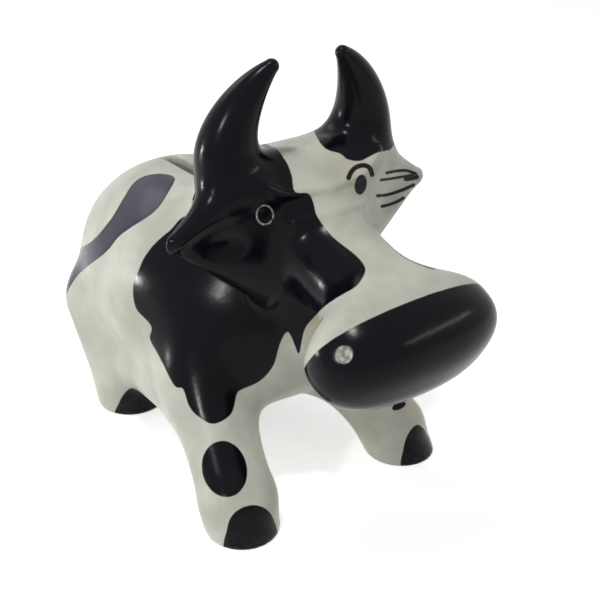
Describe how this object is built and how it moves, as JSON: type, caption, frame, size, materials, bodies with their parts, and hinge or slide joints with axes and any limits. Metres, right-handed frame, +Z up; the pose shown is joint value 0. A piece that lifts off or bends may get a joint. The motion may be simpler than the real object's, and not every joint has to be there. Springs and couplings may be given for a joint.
{
  "type": "cow figurine money box",
  "caption": "Plump carved soapstone cow with curved horns, wide muzzle and black dyed patches; its hollow body takes coins through a spine slot",
  "frame": {"origin": "on the floor under the middle of the figure's length and width", "axes": "+Z up, the cow faces -Y, +X is the cow's left"},
  "size_m": [0.0852, 0.1666, 0.1293],
  "materials": {
    "soapstone": "waxed, hand polished",
    "black_dyed_stone": "dyed and waxed",
    "stopper_rubber": "moulded",
    "steel_pin": "plain rod"
  },
  "bodies": {
    "figure": {"torso": "soapstone", "head": "soapstone", "horn_left": "black_dyed_stone", "horn_right": "black_dyed_stone", "ear_left": "soapstone", "ear_right": "black_dyed_stone", "leg_front_left": "soapstone", "leg_front_right": "soapstone", "leg_rear_left": "soapstone", "leg_rear_right": "soapstone", "tail": "soapstone", "neck_pin": "steel_pin", "leg_pins": "steel_pin", "horn_pins": "steel_pin", "ear_pins": "steel_pin", "tail_pin": "steel_pin"},
    "stopper": {"belly_stopper": "stopper_rubber"}
  },
  "joints": [
    {"name": "stopper_pull", "type": "slide", "parent": "figure", "child": "stopper", "axis": [0, 0, -1], "range_m": [0, 0.009]}
  ]
}
